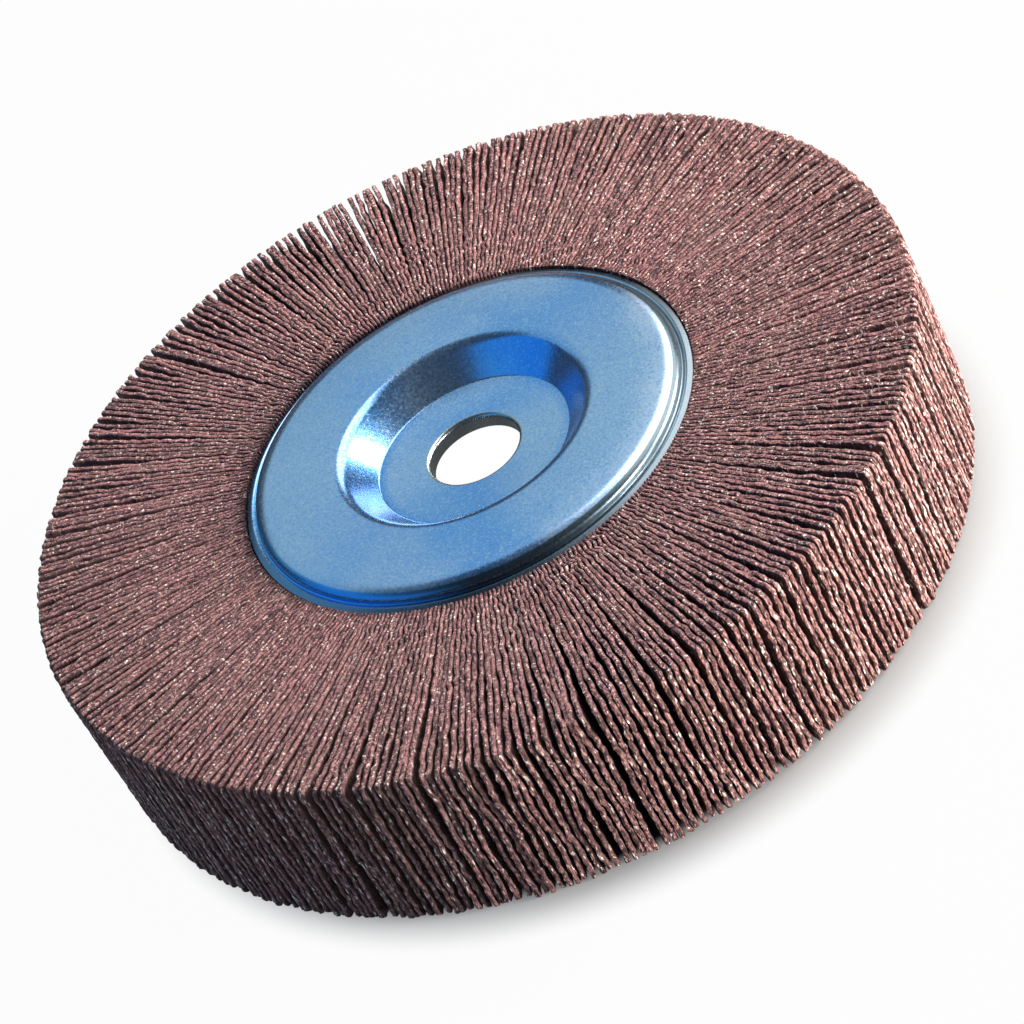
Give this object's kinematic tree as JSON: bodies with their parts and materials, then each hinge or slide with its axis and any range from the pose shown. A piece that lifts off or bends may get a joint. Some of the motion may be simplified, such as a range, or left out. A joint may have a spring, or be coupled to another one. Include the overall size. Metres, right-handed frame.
{
  "type": "abrasive mop wheel",
  "caption": "Thick abrasive wheel: a ring of radial coated-cloth flaps clamped between two blue zinc-plated flanges with a dished centre and a plain bore.",
  "frame": {"origin": "centre of the wheel: on the bore axis, halfway through the width", "axes": "+Z along the bore axis, out of the front flange with the shallow recess; the wheel lies flat on its rear side; +X and +Y are any two radial directions at right angles"},
  "size_m": [0.2499, 0.2499, 0.05],
  "materials": {
    "flange_plating": "satin blue zinc plating",
    "resin": "cast amber-brown epoxy",
    "abrasive_cloth": "coarse reddish-brown aluminium oxide grit on stiff cloth"
  },
  "bodies": {
    "root": {"front_flange": "flange_plating", "rear_flange": "flange_plating", "resin_core": "resin", "flap_set_01": "abrasive_cloth", "flap_set_02": "abrasive_cloth", "flap_set_03": "abrasive_cloth", "flap_set_04": "abrasive_cloth", "flap_set_05": "abrasive_cloth", "flap_set_06": "abrasive_cloth", "flap_set_07": "abrasive_cloth", "flap_set_08": "abrasive_cloth", "flap_set_09": "abrasive_cloth", "flap_set_10": "abrasive_cloth", "flap_set_11": "abrasive_cloth", "flap_set_12": "abrasive_cloth", "flap_set_13": "abrasive_cloth", "flap_set_14": "abrasive_cloth", "flap_set_15": "abrasive_cloth", "flap_set_16": "abrasive_cloth", "flap_set_17": "abrasive_cloth", "flap_set_18": "abrasive_cloth", "flap_set_19": "abrasive_cloth", "flap_set_20": "abrasive_cloth", "flap_set_21": "abrasive_cloth", "flap_set_22": "abrasive_cloth", "flap_set_23": "abrasive_cloth", "flap_set_24": "abrasive_cloth", "flap_set_25": "abrasive_cloth", "flap_set_26": "abrasive_cloth", "flap_set_27": "abrasive_cloth", "flap_set_28": "abrasive_cloth", "flap_set_29": "abrasive_cloth", "flap_set_30": "abrasive_cloth", "flap_set_31": "abrasive_cloth", "flap_set_32": "abrasive_cloth", "flap_set_33": "abrasive_cloth", "flap_set_34": "abrasive_cloth", "flap_set_35": "abrasive_cloth", "flap_set_36": "abrasive_cloth"}
  },
  "joints": []
}
